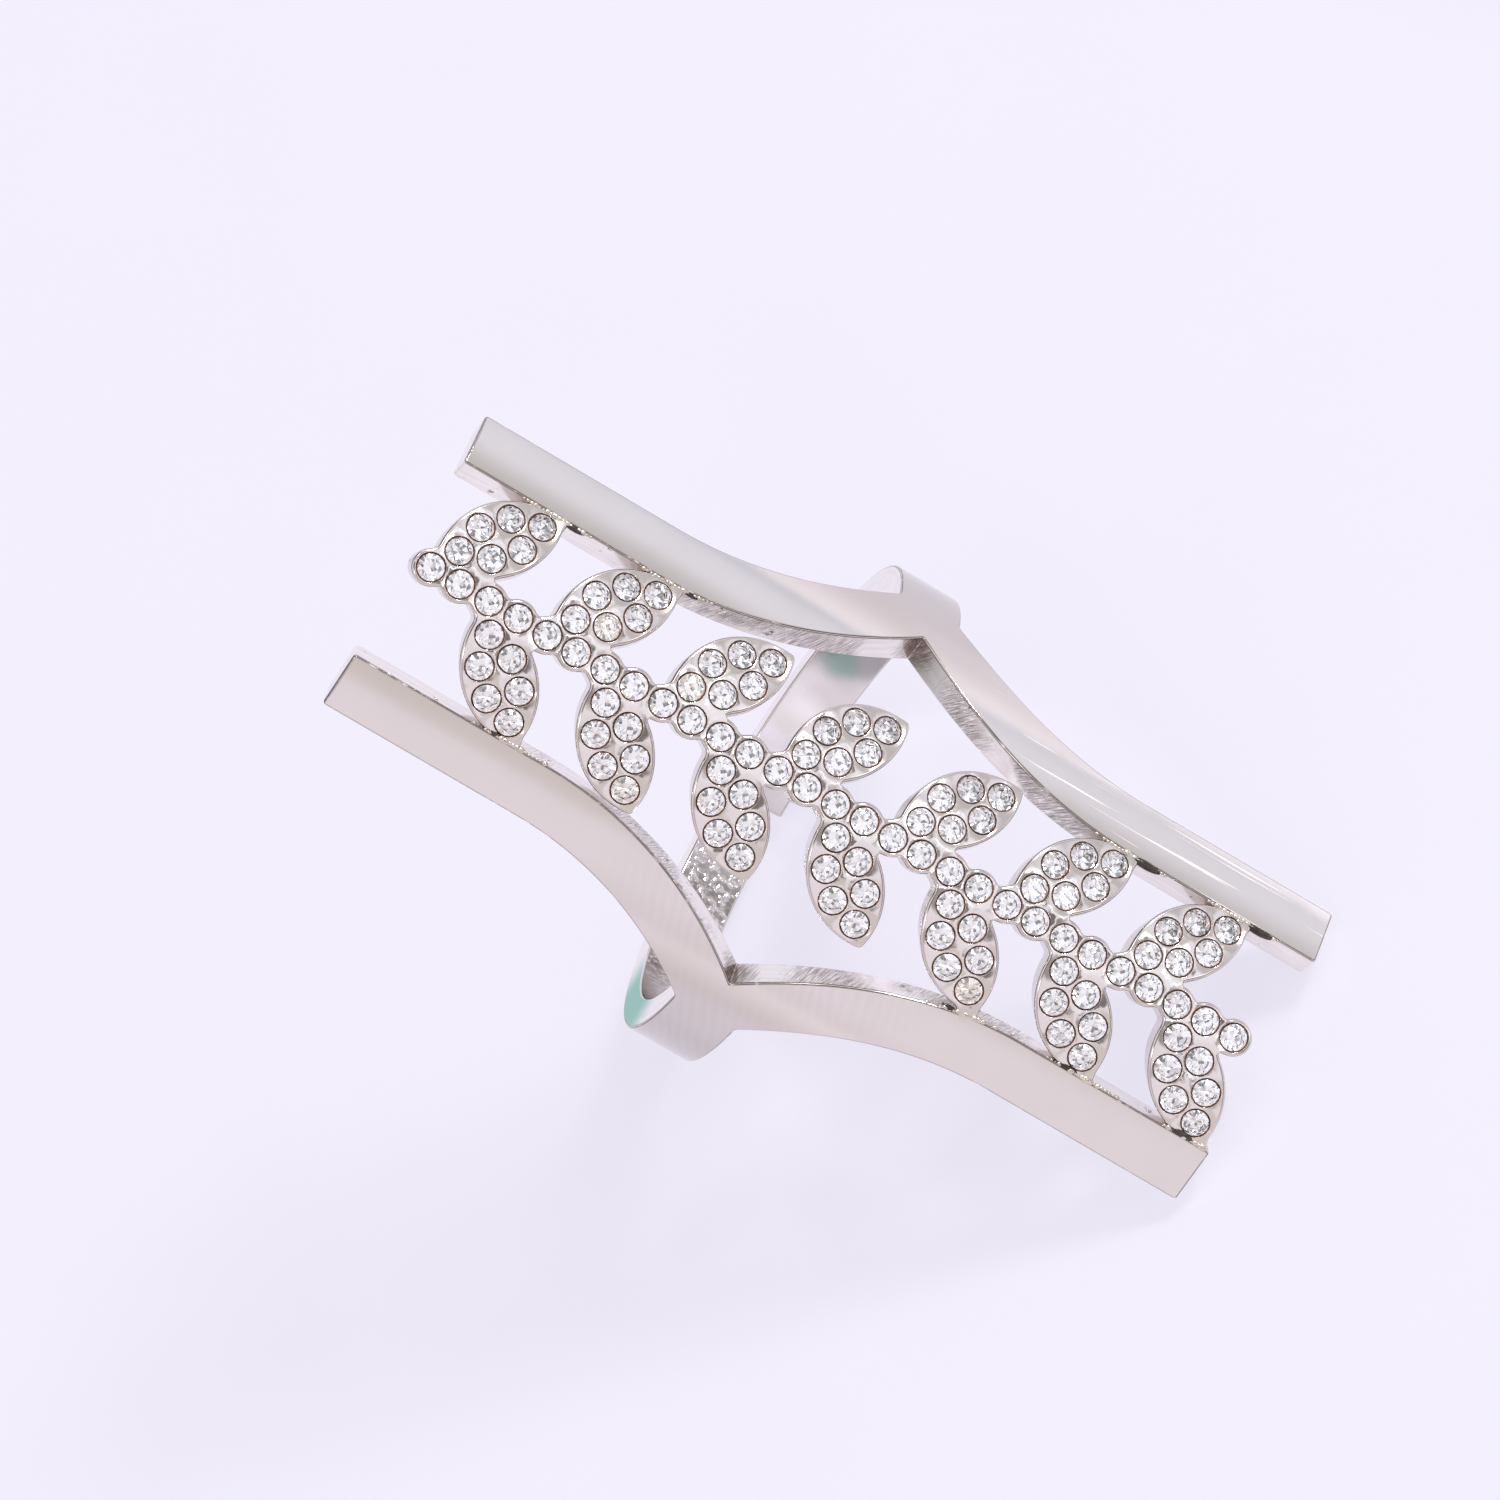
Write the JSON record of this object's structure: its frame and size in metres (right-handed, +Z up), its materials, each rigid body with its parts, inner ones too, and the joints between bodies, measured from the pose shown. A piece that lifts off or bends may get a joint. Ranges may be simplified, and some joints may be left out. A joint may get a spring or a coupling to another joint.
{
  "type": "openwork finger ring",
  "caption": "Open-backed finger ring of polished metal: two flared side rails joined by a pierced branch of leaves set with small round clear stones.",
  "frame": {"origin": "on the resting surface, under the middle of the ring's box", "axes": "+Z up from the surface, Y across the ring from rail to rail, X along the rails as seen from above; the finger axis lies in the XZ plane and drops 44.8 degrees towards +X"},
  "size_m": [0.0286, 0.0208, 0.029],
  "materials": {
    "polished_metal": "mirror polished, laser-cut edges left bright and finely striated",
    "clear_stone": "clear faceted stones, flat polished tables"
  },
  "bodies": {
    "root": {"ring_body": "polished_metal", "stones": "clear_stone"}
  },
  "joints": []
}
